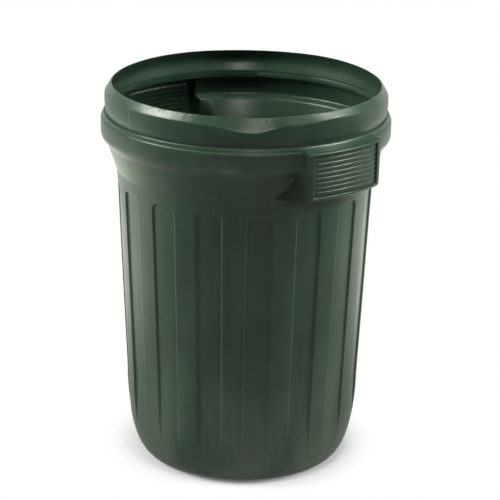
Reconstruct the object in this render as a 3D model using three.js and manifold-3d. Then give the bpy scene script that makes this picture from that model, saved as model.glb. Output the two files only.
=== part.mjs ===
// Litter bin: a round, open-topped, thin-walled plastic refuse can that tapers towards its base.
// Millimetres, +Z up. The origin is on the floor, on the bin's axis, and the two handles lie on +X and -X.
// Four pieces: the tub with its collar and handle boxes, the rim band that laps over the tub's spigot,
// and a ribbed grip panel seated in the window of each handle box.

import * as THREE from "three";
import { mergeVertices } from "three/addons/utils/BufferGeometryUtils.js";
import Module from "manifold-3d";

const wasm = await Module();
wasm.setup();

// Driving dimensions. Radii are measured from the bin's axis, heights from the floor.
const HEIGHT = 697;
const COLLAR_RADIUS = 260;
const MOUTH_RADIUS = 242.5;
const WALL = 3;
const GAP = 0.3;
const ROUND_SEGMENTS = 48;

// Base and tapered wall
const FOOT_RADIUS = 174;
const FOOT_RING_WIDTH = 22;
const UNDERSIDE_RISE = 6;
const CORNER_HEIGHT = 151;
const CORNER_STEPS = 6;
const WALL_BASE_RADIUS = 213.5;
const WALL_TOP_RADIUS = 231.5;
const WALL_TOP = 543;

// Flared cone, collar and ledge, bottom to top
const CONE_BOTTOM = { radius: 233.3, height: 545 };
const CONE_TOP = { radius: 248.8, height: 591.5 };
const COLLAR_BOTTOM = 604.5;
const COLLAR_TOP = 633.5;
// Inside the bin the step from cone to collar sits higher, so the wall is thicker behind it.
const INNER_STEP_LIFT = 5.5;
const LEDGE_OUTER = { radius: 258.4, height: 637.3 };
const LEDGE_INNER = { radius: 254.8, height: 645.2 };
const SHELF_RADIUS = 254.2;
const SHELF_HEIGHT = 646;
const SPIGOT_RADIUS = 247.3;
const SPIGOT_TOP = 654;
const SPIGOT_THICKNESS = 2.7;
const NECK_HEIGHT = 642;

// Rim band
const BAND_FOOT_RADIUS = 251.8;
const GROOVE = { radius: 251.4, height: 650 };
const BEAD_LOW = { radius: 252.8, height: 658 };
const BEAD = { radius: 253.7, height: 671 };
const LIP_FOOT = { radius: 252.6, height: 683 };
const LIP_THICKNESS = 2.6;
const BEAD_INNER_FOOT = 660;

// Sunk panels round the wall
const PANEL_COUNT = 16;
const PANEL_DEPTH = 3.5;
const PANEL_HALF_ANGLE = THREE.MathUtils.degToRad(5.93);
const PANEL_TOP = 519;
const PANEL_FADE_TOP = 125;
const PANEL_FADE_BOTTOM = 62;
const PANEL_FADE_STEPS = 3;
const PANEL_CORNER = 9;
const PANEL_CUT_MARGIN = 4;

// Handle boxes
const HANDLE_RADIUS = 275.6;
const HANDLE_BOTTOM = 550.7;
const HANDLE_TOP = 637.3;
const HANDLE_EDGE = 5;
const HANDLE_HALF_WIDTH = 82.9;
// How much wider the box gets for each millimetre towards the bin's axis: little beside the collar,
// much more at the foot of the cone.
const FLARE_AT_COLLAR = 0.05;
const FLARE_AT_BOTTOM = 0.52;
const FLARE_STEPS = 4;

// Grip windows and grip panels
const WINDOW_HALF_WIDTH = 72;
const WINDOW_BOTTOM = 559.3;
const WINDOW_TOP = 633;
const WINDOW_CORNER = 5;
const SEAT_RADIUS = 267.9;
const SEAT_WIDTH = 2.5;
const JAMB_RADIUS = 265.2;
const GRIP_FACE_RADIUS = 271.2;
const GRIP_BACK_RADIUS = 265;
const RIB_COUNT = 8;
const RIB_PITCH = 8.47;
const FIRST_RIB = 565.8;
const RIB_HEIGHT = 1.8;
const RIB_WIDTH = 4;
const RIB_CREST_WIDTH = 2;

// How far a cutting block runs past the wall that it cuts
const REACH = 40;
const CORNER_SEGMENTS = 3;
const MERGE_DISTANCE = 1e-3;

// A closed geometry as a solid that can be joined and cut.
function solidOf(geometry) {
  geometry.deleteAttribute("normal");
  geometry.deleteAttribute("uv");
  const merged = mergeVertices(geometry, MERGE_DISTANCE);
  return new wasm.Manifold(
    new wasm.Mesh({
      numProp: 3,
      vertProperties: new Float32Array(merged.attributes.position.array),
      triVerts: new Uint32Array(merged.index.array),
    }),
  );
}

// A solid as a geometry with flat-shaded faces.
function geometryOf(solid) {
  const { vertProperties, triVerts } = solid.getMesh();
  const indexed = new THREE.BufferGeometry();
  indexed.setAttribute("position", new THREE.BufferAttribute(vertProperties, 3));
  indexed.setIndex(new THREE.BufferAttribute(triVerts, 1));
  const geometry = indexed.toNonIndexed();
  geometry.computeVertexNormals();
  return geometry;
}

const joined = (solids) => solids.reduce((sum, next) => sum.add(next));

// Turns a profile of [radius, height] points about the bin's axis.
function revolved(profile) {
  const points = profile.map(([radius, height]) => new THREE.Vector2(radius, height));
  const geometry = new THREE.LatheGeometry(points, ROUND_SEGMENTS);
  geometry.rotateX(Math.PI / 2);
  return solidOf(geometry);
}

// A ring between two radii and two heights.
function ring(innerRadius, outerRadius, bottom, top) {
  return revolved([
    [innerRadius, bottom],
    [outerRadius, bottom],
    [outerRadius, top],
    [innerRadius, top],
    [innerRadius, bottom],
  ]);
}

// Pushes an outline of [across, height] outwards from the axis, in the direction of an angle.
function pushedOut(outline, angle, fromRadius, toRadius) {
  const geometry = new THREE.ExtrudeGeometry(outline, {
    depth: toRadius - fromRadius,
    bevelEnabled: false,
    curveSegments: CORNER_SEGMENTS,
  });
  const outwards = new THREE.Vector3(Math.cos(angle), Math.sin(angle), 0);
  const up = new THREE.Vector3(0, 0, 1);
  const across = new THREE.Vector3().crossVectors(up, outwards);
  geometry.translate(0, 0, fromRadius);
  geometry.applyMatrix4(new THREE.Matrix4().makeBasis(across, up, outwards));
  return solidOf(geometry);
}

// A symmetric outline, narrower at the bottom where asked, with rounded corners.
function roundedOutline(bottomHalfWidth, topHalfWidth, bottom, top, bottomCorner, topCorner) {
  const outline = new THREE.Shape();
  outline.moveTo(-bottomHalfWidth + bottomCorner, bottom);
  outline.lineTo(bottomHalfWidth - bottomCorner, bottom);
  outline.quadraticCurveTo(bottomHalfWidth, bottom, bottomHalfWidth, bottom + bottomCorner);
  outline.lineTo(topHalfWidth, top - topCorner);
  outline.quadraticCurveTo(topHalfWidth, top, topHalfWidth - topCorner, top);
  outline.lineTo(-topHalfWidth + topCorner, top);
  outline.quadraticCurveTo(-topHalfWidth, top, -topHalfWidth, top - topCorner);
  outline.lineTo(-bottomHalfWidth, bottom + bottomCorner);
  outline.quadraticCurveTo(-bottomHalfWidth, bottom, -bottomHalfWidth + bottomCorner, bottom);
  return outline;
}

// Radius of the plain tapered wall, outside, at a height.
function wallRadius(height) {
  if (height < CORNER_HEIGHT) {
    const drop = 1 - height / CORNER_HEIGHT;
    return FOOT_RADIUS + (WALL_BASE_RADIUS - FOOT_RADIUS) * Math.sqrt(1 - drop * drop);
  }
  const share = (height - CORNER_HEIGHT) / (WALL_TOP - CORNER_HEIGHT);
  return WALL_BASE_RADIUS + (WALL_TOP_RADIUS - WALL_BASE_RADIUS) * share;
}

// How far the panels are sunk at a height: full depth up the wall, nothing round the base corner.
function panelDepth(height) {
  return PANEL_DEPTH * THREE.MathUtils.smoothstep(height, PANEL_FADE_BOTTOM, PANEL_FADE_TOP);
}

// The tub's wall from the edge of the foot up to the ledge, with the step above the cone lifted.
function wallProfile(stepLift) {
  const profile = [];
  for (let step = 0; step <= CORNER_STEPS; step += 1) {
    const angle = (Math.PI / 2) * (step / CORNER_STEPS);
    const height = CORNER_HEIGHT * (1 - Math.cos(angle));
    profile.push([wallRadius(height), height]);
  }
  profile.push([WALL_TOP_RADIUS, WALL_TOP]);
  profile.push([CONE_BOTTOM.radius, CONE_BOTTOM.height]);
  profile.push([CONE_TOP.radius, CONE_TOP.height + stepLift]);
  profile.push([COLLAR_RADIUS, COLLAR_BOTTOM + stepLift]);
  profile.push([COLLAR_RADIUS, COLLAR_TOP]);
  profile.push([LEDGE_OUTER.radius, LEDGE_OUTER.height]);
  profile.push([LEDGE_INNER.radius, LEDGE_INNER.height]);
  return profile;
}

// The same profile moved into the bin by a wall's thickness, with mitred corners.
function insetProfile(profile, thickness) {
  const normals = profile.slice(1).map(([radius, height], index) => {
    const along = new THREE.Vector2(radius - profile[index][0], height - profile[index][1]);
    return along.normalize().rotateAround(new THREE.Vector2(), Math.PI / 2);
  });
  return profile.map(([radius, height], index) => {
    const before = normals[Math.max(index - 1, 0)];
    const after = normals[Math.min(index, normals.length - 1)];
    const mitre = before.clone().add(after);
    mitre.multiplyScalar(thickness / (1 + before.dot(after)));
    return [radius + mitre.x, height + mitre.y];
  });
}

// Sunk panels as blocks, to cut from the outside or to keep standing on the inside.
function panelBlocks(inset) {
  const ringProfile = [];
  for (let step = 0; step <= PANEL_FADE_STEPS; step += 1) {
    const share = step / PANEL_FADE_STEPS;
    const height = THREE.MathUtils.lerp(PANEL_FADE_BOTTOM, PANEL_FADE_TOP, share);
    ringProfile.push([wallRadius(height) - panelDepth(height) - inset, height]);
  }
  ringProfile.push([wallRadius(CORNER_HEIGHT) - PANEL_DEPTH - inset, CORNER_HEIGHT]);
  ringProfile.push([wallRadius(PANEL_TOP) - PANEL_DEPTH - inset, PANEL_TOP + inset]);
  ringProfile.push([wallRadius(PANEL_TOP) + PANEL_CUT_MARGIN, PANEL_TOP + inset]);
  ringProfile.push([WALL_BASE_RADIUS + PANEL_CUT_MARGIN, CORNER_HEIGHT]);
  ringProfile.push([WALL_BASE_RADIUS + PANEL_CUT_MARGIN, PANEL_FADE_BOTTOM]);
  ringProfile.push(ringProfile[0]);
  const band = revolved([...ringProfile].reverse());

  const outline = roundedOutline(
    wallRadius(PANEL_FADE_BOTTOM) * Math.sin(PANEL_HALF_ANGLE) + inset,
    wallRadius(PANEL_TOP) * Math.sin(PANEL_HALF_ANGLE) + inset,
    PANEL_FADE_BOTTOM - REACH,
    PANEL_TOP + inset,
    0,
    PANEL_CORNER,
  );
  const pitch = (2 * Math.PI) / PANEL_COUNT;
  const blocks = Array.from({ length: PANEL_COUNT }, (_, index) =>
    pushedOut(outline, (index + 0.5) * pitch, FOOT_RADIUS, COLLAR_RADIUS),
  );
  return band.intersect(joined(blocks));
}

// A handle box on +X or -X: sides that splay towards the foot, a curved face and a top that slopes
// up to the ledge.
function handleBox(angle, inset) {
  const face = HANDLE_RADIUS - inset;
  const innermost = WALL_TOP_RADIUS - REACH;
  const faceX = Math.sqrt(HANDLE_RADIUS ** 2 - HANDLE_HALF_WIDTH ** 2);
  const beyond = face + REACH;
  const levels = [HANDLE_BOTTOM - REACH];
  for (let step = 0; step <= FLARE_STEPS; step += 1) {
    levels.push(THREE.MathUtils.lerp(HANDLE_BOTTOM, COLLAR_BOTTOM, step / FLARE_STEPS));
  }
  levels.push(HEIGHT);
  const rows = levels.length - 1;
  const column = new THREE.BoxGeometry(1, 2, rows, FLARE_STEPS, 1, rows);
  const corners = column.attributes.position;
  for (let index = 0; index < corners.count; index += 1) {
    const height = levels[Math.round(corners.getZ(index) + rows / 2)];
    const flare = THREE.MathUtils.mapLinear(
      THREE.MathUtils.clamp(height, HANDLE_BOTTOM, COLLAR_BOTTOM),
      HANDLE_BOTTOM,
      COLLAR_BOTTOM,
      FLARE_AT_BOTTOM,
      FLARE_AT_COLLAR,
    );
    const x = THREE.MathUtils.lerp(innermost, beyond, corners.getX(index) + 0.5);
    const halfWidth = HANDLE_HALF_WIDTH + (faceX - x) * flare - inset * Math.hypot(1, flare);
    corners.setXYZ(index, x, Math.sign(corners.getY(index)) * halfWidth, height);
  }
  column.rotateZ(angle);

  const turned = revolved([
    [0, HANDLE_BOTTOM + inset],
    [face - HANDLE_EDGE, HANDLE_BOTTOM + inset],
    [face, HANDLE_BOTTOM + inset + HANDLE_EDGE],
    [face, HANDLE_TOP - inset],
    [LEDGE_INNER.radius - inset, LEDGE_INNER.height - inset],
    [0, LEDGE_INNER.height - inset],
  ]);
  return solidOf(column).intersect(turned);
}

// The opening in a handle box's face that holds a grip panel, made larger or smaller by a margin.
function windowBlock(angle, margin, innerRadius, outerRadius) {
  const outline = roundedOutline(
    WINDOW_HALF_WIDTH + margin,
    WINDOW_HALF_WIDTH + margin,
    WINDOW_BOTTOM - margin,
    WINDOW_TOP + margin,
    WINDOW_CORNER,
    WINDOW_CORNER,
  );
  const block = pushedOut(outline, angle, WALL_TOP_RADIUS, HANDLE_RADIUS + REACH);
  return block.intersect(ring(innerRadius, outerRadius, WINDOW_BOTTOM - REACH, WINDOW_TOP + REACH));
}

// A curved plate with level ribs on one side, between two radii.
function ribbedRing(plainRadius, ribbedRadius) {
  const outwards = Math.sign(ribbedRadius - plainRadius);
  const crest = ribbedRadius + outwards * RIB_HEIGHT;
  const profile = [[plainRadius, WINDOW_BOTTOM]];
  profile.push([ribbedRadius, WINDOW_BOTTOM]);
  for (let rib = 0; rib < RIB_COUNT; rib += 1) {
    const middle = FIRST_RIB + rib * RIB_PITCH;
    profile.push([ribbedRadius, middle - RIB_WIDTH / 2]);
    profile.push([crest, middle - RIB_CREST_WIDTH / 2]);
    profile.push([crest, middle + RIB_CREST_WIDTH / 2]);
    profile.push([ribbedRadius, middle + RIB_WIDTH / 2]);
  }
  profile.push([ribbedRadius, WINDOW_TOP]);
  profile.push([plainRadius, WINDOW_TOP]);
  profile.push([plainRadius, WINDOW_BOTTOM]);
  return revolved(outwards > 0 ? profile : profile.reverse());
}

// Tub: hollow tapered body with sunk panels, collar, handle boxes and the spigot for the rim band.
function binBody(handleAngles) {
  const footInner = FOOT_RADIUS - FOOT_RING_WIDTH;
  const outside = revolved([
    [0, UNDERSIDE_RISE],
    [footInner - UNDERSIDE_RISE, UNDERSIDE_RISE],
    [footInner, 0],
    ...wallProfile(0),
    [SHELF_RADIUS, SHELF_HEIGHT],
    [SPIGOT_RADIUS, SHELF_HEIGHT],
    [SPIGOT_RADIUS, SPIGOT_TOP],
    [0, SPIGOT_TOP],
  ]);

  const floorTop = UNDERSIDE_RISE + WALL;
  const insideProfile = insetProfile(wallProfile(INNER_STEP_LIFT), WALL);
  const insideWall = insideProfile.filter(([, height]) => height > floorTop);
  const spigotInner = SPIGOT_RADIUS - SPIGOT_THICKNESS;
  const inside = revolved([
    [0, floorTop],
    [FOOT_RADIUS - WALL, floorTop],
    ...insideWall,
    [spigotInner, NECK_HEIGHT],
    [spigotInner, SPIGOT_TOP + REACH],
    [0, SPIGOT_TOP + REACH],
  ]);

  let shell = outside.subtract(panelBlocks(0));
  let hollow = inside.subtract(panelBlocks(WALL));
  for (const angle of handleAngles) {
    const jamb = windowBlock(angle, WALL, JAMB_RADIUS, HANDLE_RADIUS + REACH);
    shell = shell.add(handleBox(angle, 0));
    hollow = hollow.add(handleBox(angle, WALL).subtract(jamb));
  }
  let body = shell.subtract(hollow);
  for (const angle of handleAngles) {
    body = body.subtract(windowBlock(angle, 0, SEAT_RADIUS, HANDLE_RADIUS + REACH));
    body = body.subtract(windowBlock(angle, -SEAT_WIDTH, WALL_TOP_RADIUS, HANDLE_RADIUS));
  }
  return body;
}

// Rim band: the bead and the inward-sloping lip, with a skirt that laps over the tub's spigot.
function rimBand() {
  const skirtInner = SPIGOT_RADIUS + GAP;
  const flushInner = SPIGOT_RADIUS - SPIGOT_THICKNESS;
  return revolved([
    [skirtInner, SHELF_HEIGHT + GAP],
    [BAND_FOOT_RADIUS, SHELF_HEIGHT + GAP],
    [GROOVE.radius, GROOVE.height],
    [BEAD_LOW.radius, BEAD_LOW.height],
    [BEAD.radius, BEAD.height],
    [LIP_FOOT.radius, LIP_FOOT.height],
    [MOUTH_RADIUS, HEIGHT],
    [MOUTH_RADIUS - LIP_THICKNESS, HEIGHT],
    [LIP_FOOT.radius - WALL, LIP_FOOT.height - WALL / 2],
    [BEAD.radius - WALL, BEAD.height],
    [BEAD_LOW.radius - WALL, BEAD_INNER_FOOT],
    [flushInner, SPIGOT_TOP + GAP],
    [skirtInner, SPIGOT_TOP + GAP],
    [skirtInner, SHELF_HEIGHT + GAP],
  ]);
}

// Grip panel: a curved plate on the window's seat, ribbed outside for the palm and inside for the fingers.
function gripPanel(angle) {
  const plateInner = SEAT_RADIUS + GAP;
  const crest = GRIP_FACE_RADIUS + RIB_HEIGHT;
  const plate = windowBlock(angle, -GAP, plateInner, crest + GAP);
  const back = windowBlock(angle, -SEAT_WIDTH - GAP, GRIP_BACK_RADIUS - RIB_HEIGHT - GAP, GRIP_FACE_RADIUS);
  const front = ribbedRing(plateInner, GRIP_FACE_RADIUS).intersect(plate);
  const rear = ribbedRing(GRIP_FACE_RADIUS - GAP, GRIP_BACK_RADIUS).intersect(back);
  return front.add(rear);
}

const RIGHT = 0;
const LEFT = Math.PI;

const bodyPlastic = new THREE.MeshStandardMaterial({ color: 0x34473b, roughness: 0.5, metalness: 0 });
const bandPlastic = new THREE.MeshStandardMaterial({ color: 0x3a4f41, roughness: 0.48, metalness: 0 });
const rightPlastic = new THREE.MeshStandardMaterial({ color: 0x37493d, roughness: 0.55, metalness: 0 });
const leftPlastic = new THREE.MeshStandardMaterial({ color: 0x37493d, roughness: 0.55, metalness: 0 });

const bin = new THREE.Group();

function place(name, solid, material) {
  const mesh = new THREE.Mesh(geometryOf(solid), material);
  mesh.name = name;
  bin.add(mesh);
}

place("bin_body", binBody([RIGHT, LEFT]), bodyPlastic);
place("rim_band", rimBand(), bandPlastic);
place("grip_panel_right", gripPanel(RIGHT), rightPlastic);
place("grip_panel_left", gripPanel(LEFT), leftPlastic);

export default bin;
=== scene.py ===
"""A dark green moulded refuse can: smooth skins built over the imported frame, with procedural plastics.

Lengths are in metres. The bin stands on z = 0 with its axis on the origin and its handles on +X and -X.
Each piece is a closed shell laid out on a grid: angles run round the axis, rows run along the skin.
"""
import math

import bpy
import numpy as np
from mathutils import Matrix, Vector


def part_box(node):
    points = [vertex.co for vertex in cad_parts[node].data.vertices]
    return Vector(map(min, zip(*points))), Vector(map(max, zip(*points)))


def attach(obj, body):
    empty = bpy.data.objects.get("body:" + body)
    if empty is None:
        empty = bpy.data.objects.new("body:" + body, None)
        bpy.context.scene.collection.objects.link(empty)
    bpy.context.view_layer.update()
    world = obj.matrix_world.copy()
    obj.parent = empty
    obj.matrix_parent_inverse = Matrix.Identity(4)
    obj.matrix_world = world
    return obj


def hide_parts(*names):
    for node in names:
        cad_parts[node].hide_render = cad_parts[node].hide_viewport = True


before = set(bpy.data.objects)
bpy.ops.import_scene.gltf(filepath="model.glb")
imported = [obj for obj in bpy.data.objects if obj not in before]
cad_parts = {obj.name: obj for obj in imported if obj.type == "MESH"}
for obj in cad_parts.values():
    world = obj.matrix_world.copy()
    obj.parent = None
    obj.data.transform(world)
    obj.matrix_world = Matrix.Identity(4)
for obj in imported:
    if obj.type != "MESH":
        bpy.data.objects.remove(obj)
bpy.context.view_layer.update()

MM = 0.001
GAP = 0.3 * MM

# ---------------------------------------------------------------- sizes taken from the frame

BODY_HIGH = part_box("bin_body")[1]
BAND_LOW, BAND_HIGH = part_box("rim_band")
GRIP_LOW, GRIP_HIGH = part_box("grip_panel_right")

TOP = BAND_HIGH.z
COLLAR_R = BODY_HIGH.y
HANDLE_R = BODY_HIGH.x
SHELF_Z = BAND_LOW.z - GAP
BEAD_R = BAND_HIGH.x
SPIGOT_TOP = BODY_HIGH.z

# ---------------------------------------------------------------- sizes of the moulding

WALL = 3 * MM

FOOT_R = COLLAR_R - 86 * MM
FOOT_RING = 22 * MM
UNDERSIDE_RISE = 6 * MM
FLOOR_TOP = UNDERSIDE_RISE + WALL
CORNER_TOP = 151 * MM
WALL_LOW_R = COLLAR_R - 46.5 * MM
WALL_HIGH_R = COLLAR_R - 28.5 * MM
WALL_HIGH_Z = 543 * MM

PANELS = 16
PANEL_HALF = math.radians(5.93)
PANEL_DEPTH = 3.4 * MM
PANEL_TOP = 519 * MM
PANEL_FADE = (60 * MM, 128 * MM)
PANEL_CORNER = 10 * MM
PANEL_EDGE = 1.4 * MM

HANDLE_BOTTOM = 550.7 * MM
HANDLE_TOP = 637.3 * MM
HANDLE_HALF = 82.9 * MM
HANDLE_CORNER = 7 * MM
HANDLE_FILLET = 3.5 * MM
HANDLE_ROUNDING_LOW = 9 * MM
HANDLE_ROUNDING_TOP = 3.6 * MM
HANDLE_SECTOR = math.radians(40)
HANDLE_DEPTH = 44 * MM
HANDLE_UNDERCUT = 0.5 * MM
HANDLE_UNDERCUT_REACH_MM = 60
FLARE_AT_COLLAR = 0.05
FLARE_AT_BOTTOM = 0.52
COLLAR_BOTTOM = 604.5 * MM
LEDGE_OUT_R = COLLAR_R - 0.9 * MM
LEDGE_R = COLLAR_R - 5.2 * MM
LEDGE_Z = 645.2 * MM
LEDGE_SWEEP_TOP = LEDGE_Z - 1.7 * MM

# The inside of the shoulder, the neck above it, the spigot on the tub and the band's skirt round it.
SHOULDER_R = COLLAR_R - 7.4 * MM
NECK_R = COLLAR_R - 15.4 * MM
SPIGOT_R = COLLAR_R - 12.7 * MM
SPIGOT_EDGE = 0.6 * MM
SKIRT_R = COLLAR_R - 12.4 * MM
SKIRT_HEIGHT = 8 * MM

WINDOW_HALF = math.asin(72 * MM / HANDLE_R)
WINDOW_SLOPE = 3.4 * MM
WINDOW_LOW = GRIP_LOW.z - GAP
WINDOW_HIGH = GRIP_HIGH.z + GAP
WINDOW_BEVEL = 0.9 * MM
WINDOW_BEVEL_DEPTH = 0.8 * MM
WINDOW_BEVEL_DEGREES = 0.2
SILL_DEPTH = 3.2 * MM
SILL_END_DEGREES = 0.3
JAMB_R = HANDLE_R - 10.4 * MM
JAMB_REACH = (2.8 * MM, 3.5 * MM)
JAMB_DEGREES = (0.62, 0.8)

GRIP_R = HANDLE_R - 3.4 * MM
GRIP_BACK_R = HANDLE_R - 9.6 * MM
RIBS = 8
RIB_PITCH = 8.47 * MM
FIRST_RIB = 6.5 * MM
RIB_HEIGHT = 1.4 * MM
# How pale the ribs' crests are painted: partly scuffing, partly a painted highlight.
RIB_WEAR_AND_HIGHLIGHT = 0.6
BACK_RIB_HEIGHT = 0.4 * MM
BEAD_DROP = 4.2 * MM
BEAD_SIZE = 2.2 * MM
# How strongly the bead on the grip's back is painted with a highlight.
BEAD_HIGHLIGHT = 7.0
GRIP_COLUMNS = 61
GRIP_ROWS = 131

# The direction that faces the camera, as an angle about the axis. Angles to its right are positive.
FACING = math.radians(-40.63)

# Slow and fine waves in the tub's wall, in millimetres, and the heights over which they set in.
SAG_SLOW = 0.45
SAG_FINE = 0.22
SAG_SETS_IN = (20 * MM, 160 * MM)

# Pale marks, painted highlights and painted shade on the tub. Degrees are counted from the middle of a
# handle.
# The panels' edges are painted pale, partly as scuffing and partly as a painted highlight; a painted
# highlight dot sits at each lower corner of the windows.
PANEL_EDGE_WEAR_AND_HIGHLIGHT = 0.5
SPOT_HIGHLIGHT = 4
SPOT_HIGHLIGHT_SIZE = 1.6 * MM
# Painted shade: a shadow painted on the wall below each handle, and the handles' flanks painted darker.
SHADOW_BELOW_ENDS = (20, 30)
FLANK_SHADE = 0.7
FLANK_SHADE_STARTS = (17.5, 19)
FLANK_SHADE_FADES = (585 * MM, 605 * MM)

# Marks, in degrees from the direction that faces the camera. Bumps are (height, centre, width), and the
# heights of the dents, the droop and the trim are in millimetres.
SCUFF = (2.0, -10, 7)
SEAM_AT = -52.2
LIP_DENT_AT = 3
LIP_DENT = 11
SIDE_DROOP = 5
CREASE_RISES = ((3.4, 38, 7), (-1.6, 22, 6))
BAND_DENTS = ((-1.5, -9, 9), (0.8, 8, 7), (-0.7, 24, 7))
ROUGH_TRIM_AT = -34
ROUGH_TRIM_WIDTH = 11
ROUGH_TRIM = 3
DEEPEST_NICK = -0.9
HIGHEST_BURR = 0.2
# Chalky patches on the lip, placed where the side and front lamps' highlights fall, so they are partly a
# painted highlight.
LIP_WEAR_AND_HIGHLIGHT = ((1.0, -33, 8), (0.6, 6, 6), (0.5, 38.5, 4.5))

# Edges sharper than this many degrees stay crisp. Rows of the tub closer than this are merged.
CRISP = 50
CLOSEST_ROWS = 0.22 * MM


# ---------------------------------------------------------------- small numeric helpers

def smoothstep(low, high, value):
    """0 up to low, 1 from high on, and a smooth rise between them."""
    share = np.clip((value - low) / (high - low), 0.0, 1.0)
    return share * share * (3.0 - 2.0 * share)


def smooth_max(a, b, reach):
    """The larger of a and b, with the crease between them filleted over about reach."""
    share = np.clip(0.5 + 0.5 * (a - b) / reach, 0.0, 1.0)
    return b + (a - b) * share + reach * share * (1.0 - share)


def smooth_min(a, b, reach):
    """The smaller of a and b, with the crease between them filleted over about reach."""
    return -smooth_max(-a, -b, reach)


def rounded_off(distance, radius):
    """How far a rounded edge falls away from its sharp corner, at a distance from that corner."""
    into = np.clip(radius - distance, 0, radius)
    return radius - np.sqrt(radius ** 2 - into ** 2)


def turn(angle):
    """An angle brought between -pi and pi."""
    return (angle + math.pi) % (2 * math.pi) - math.pi


def from_handle(angles):
    """The angle to the middle of the nearer handle."""
    return np.minimum(np.abs(turn(angles)), np.abs(turn(angles - math.pi)))


def gauss(value, centre, width):
    """A bell-shaped bump, 1 at its centre."""
    return np.exp(-(((value - centre) / width) ** 2))


def bumps(value, shapes):
    """The sum of bell-shaped bumps, each given as (height, centre, width)."""
    return sum(height * gauss(value, centre, width) for height, centre, width in shapes)


def ripple(angles, heights, seed, rounds, rows, count=7):
    """A smooth random field of about -1 to 1 that closes on itself round the axis.

    It is a sum of count waves, of up to rounds waves round the axis and rows radians per metre of height.
    """
    draw = np.random.default_rng(seed)
    strength = 1.6
    field = np.zeros(np.broadcast(angles, heights).shape)
    for _ in range(count):
        around = draw.integers(1, rounds + 1)
        along = draw.uniform(-rows, rows)
        phase = draw.uniform(0, 2 * math.pi)
        field += np.sin(around * angles + along * heights + phase)
    return field / count * strength


def rounded_path(corners, steps=5):
    """A path of (radius, height) points through corners of (radius, height, fillet)."""
    points = [np.array(corners[0][:2])]
    for before, here, after in zip(corners, corners[1:], corners[2:]):
        corner = np.array(here[:2])
        back = np.array(before[:2]) - corner
        ahead = np.array(after[:2]) - corner
        reach = min(here[2], 0.48 * np.linalg.norm(back), 0.48 * np.linalg.norm(ahead))
        if reach <= 0:
            points.append(corner)
            continue
        start = corner + back / np.linalg.norm(back) * reach
        end = corner + ahead / np.linalg.norm(ahead) * reach
        for share in np.linspace(0, 1, steps):
            near = start * (1 - share) + corner * share
            far = corner * (1 - share) + end * share
            points.append(near * (1 - share) + far * share)
    points.append(np.array(corners[-1][:2]))
    return np.array(points)


def filled(path, longest, extra_heights=()):
    """A rising path with rows added at given heights and wherever two rows are far apart."""
    radii, heights = path[:, 0], path[:, 1]
    rows = sorted(list(heights) + [z for z in extra_heights if heights[0] < z < heights[-1]])
    merged = [rows[0]]
    for row in rows[1:]:
        if row - merged[-1] < CLOSEST_ROWS:
            continue
        pieces = max(1, math.ceil((row - merged[-1]) / longest))
        merged += list(np.linspace(merged[-1], row, pieces + 1)[1:])
    return np.column_stack([np.interp(merged, heights, radii), merged])


# ---------------------------------------------------------------- angles of the grid

def unique_angles(angles, closest):
    """Sorted angles round the full turn, with any that nearly coincide merged."""
    ordered = np.sort(np.mod(angles, 2 * math.pi))
    kept = [ordered[0]]
    for angle in ordered[1:]:
        if angle - kept[-1] > closest:
            kept.append(angle)
    return np.array(kept)


def tub_angles():
    """Angles with rows close together at panel edges, handle sides and window edges."""
    panel_half_rows = np.radians(
        [0, 2.6, 4.0, 4.7, 5.15, 5.45, 5.7, 5.93, 6.16, 6.41, 6.75, 7.6, 9.4, 11.25]
    )
    pitch = 2 * math.pi / PANELS
    panel_rows = [
        (panel + 0.5) * pitch + side * row
        for panel in range(PANELS)
        for side in (-1, 1)
        for row in panel_half_rows
    ]
    window = math.degrees(WINDOW_HALF)
    corner_rows = np.arange(16.2, 21.0, 0.27)
    flank_rows = np.arange(21.2, 31.0, 0.85)
    handle_half_rows = np.radians(
        [
            window,
            *(window + reach for reach in (WINDOW_BEVEL_DEGREES, SILL_END_DEGREES, *JAMB_DEGREES)),
            *corner_rows,
            *flank_rows,
        ]
    )
    handle_rows = [
        centre + side * row
        for centre in (0, math.pi)
        for side in (-1, 1)
        for row in handle_half_rows
    ]
    exact = [math.pi * centre + side * WINDOW_HALF for centre in (0, 1) for side in (-1, 1)]
    rows = unique_angles(np.array(panel_rows + handle_rows), math.radians(0.11))
    for angle in exact:
        rows[np.argmin(np.abs(turn(rows - angle)))] = angle % (2 * math.pi)
    return np.sort(rows)


# ---------------------------------------------------------------- the tub's skins

def corner_radius(height):
    """Radius of the outer wall in the rounded corner at the base."""
    drop = 1 - np.clip(height / CORNER_TOP, 0, 1)
    return FOOT_R + (WALL_LOW_R - FOOT_R) * np.sqrt(1 - drop * drop)


def outer_wall_path():
    """The plain outside of the tub, from the edge of the foot to the shelf under the band."""
    turns = np.linspace(0, math.pi / 2, 15)[:-1]
    corner = [(corner_radius(z), z) for z in CORNER_TOP * (1 - np.cos(turns))]
    above = rounded_path(
        [
            (WALL_LOW_R, CORNER_TOP, 0),
            (WALL_HIGH_R, WALL_HIGH_Z, 0.7 * MM),
            (COLLAR_R - 26.8 * MM, 544.8 * MM, 0.9 * MM),
            (COLLAR_R - 11.2 * MM, 591.5 * MM, 3 * MM),
            (COLLAR_R, COLLAR_BOTTOM, 7 * MM),
            (COLLAR_R, 633.5 * MM, 1.2 * MM),
            (LEDGE_OUT_R, HANDLE_TOP, 1.9 * MM),
            (COLLAR_R - 2.7 * MM, HANDLE_TOP + 0.9 * MM, 0.6 * MM),
            (COLLAR_R - 4.5 * MM, LEDGE_Z - 0.5 * MM, 0.5 * MM),
            (LEDGE_R - 0.4 * MM, LEDGE_Z, 0.6 * MM),
            (COLLAR_R - 5.8 * MM, SHELF_Z, 0),
        ]
    )
    return np.vstack([corner, above])


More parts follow.
